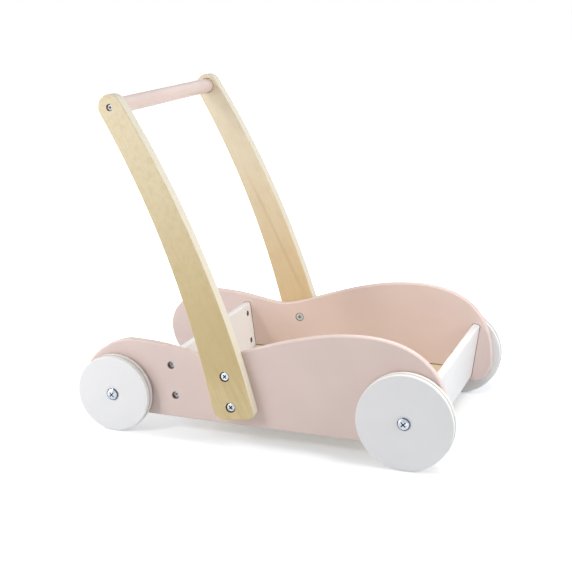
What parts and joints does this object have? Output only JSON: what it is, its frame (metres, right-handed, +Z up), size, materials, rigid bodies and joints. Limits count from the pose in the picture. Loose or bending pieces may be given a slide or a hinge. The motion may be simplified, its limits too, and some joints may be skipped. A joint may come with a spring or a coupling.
{
  "type": "baby walker",
  "caption": "Wooden push-along baby walker: an open tray between wave-edged side panels on free-turning wheels, with bent plywood arms and a round push bar.",
  "frame": {"origin": "on the ground, midway between the back of the rear wheels and the front of the front wheels, on the middle plane", "axes": "+X forwards, away from the push bar; +Y to the walking child's left; +Z up"},
  "size_m": [0.494, 0.3076, 0.4315],
  "materials": {
    "pink_paint": "smooth satin pale pink lacquer on plywood",
    "white_paint": "smooth satin white lacquer on plywood",
    "birch_ply": "clear matte lacquer on natural birch plywood",
    "rubber": "matte cream rubber cord",
    "nylon": "white nylon",
    "zinc": "bright zinc plate"
  },
  "bodies": {
    "frame": {"side_panel_left": "pink_paint", "side_panel_right": "pink_paint", "rear_board": "white_paint", "front_board": "white_paint", "floor_board": "birch_ply", "handle_arm_left": "birch_ply", "handle_arm_right": "birch_ply", "handle_bar": "pink_paint", "handle_insert_left": "zinc", "handle_insert_right": "zinc", "handle_screw_left": "zinc", "handle_screw_right": "zinc", "arm_bolts_left": "zinc", "arm_bolts_right": "zinc", "arm_sleeve_nuts_left": "zinc", "arm_sleeve_nuts_right": "zinc", "rear_board_bolts_left": "zinc", "rear_board_bolts_right": "zinc", "front_board_bolts_left": "zinc", "front_board_bolts_right": "zinc", "rear_board_barrel_nuts": "zinc", "front_board_barrel_nuts": "zinc", "axle_bolt_front_left": "zinc", "axle_washer_front_left": "zinc", "axle_nut_front_left": "zinc", "axle_bolt_front_right": "zinc", "axle_washer_front_right": "zinc", "axle_nut_front_right": "zinc", "axle_bolt_rear_left": "zinc", "axle_washer_rear_left": "zinc", "axle_nut_rear_left": "zinc", "axle_bolt_rear_right": "zinc", "axle_washer_rear_right": "zinc", "axle_nut_rear_right": "zinc"},
    "wheel_front_left": {"wheel_front_left": "white_paint", "tyre_front_left": "rubber", "hub_bush_front_left": "nylon"},
    "wheel_front_right": {"wheel_front_right": "white_paint", "tyre_front_right": "rubber", "hub_bush_front_right": "nylon"},
    "wheel_rear_left": {"wheel_rear_left": "white_paint", "tyre_rear_left": "rubber", "hub_bush_rear_left": "nylon"},
    "wheel_rear_right": {"wheel_rear_right": "white_paint", "tyre_rear_right": "rubber", "hub_bush_rear_right": "nylon"}
  },
  "joints": [
    {"name": "front_left_wheel_spin", "type": "hinge", "parent": "frame", "child": "wheel_front_left", "pos_m": [0.187, 0.1428, 0.06], "axis": [0, 1, 0], "continuous": true},
    {"name": "front_right_wheel_spin", "type": "hinge", "parent": "frame", "child": "wheel_front_right", "pos_m": [0.187, -0.1428, 0.06], "axis": [0, 1, 0], "continuous": true},
    {"name": "rear_left_wheel_spin", "type": "hinge", "parent": "frame", "child": "wheel_rear_left", "pos_m": [-0.197, 0.1428, 0.05], "axis": [0, 1, 0], "continuous": true},
    {"name": "rear_right_wheel_spin", "type": "hinge", "parent": "frame", "child": "wheel_rear_right", "pos_m": [-0.197, -0.1428, 0.05], "axis": [0, 1, 0], "continuous": true}
  ]
}
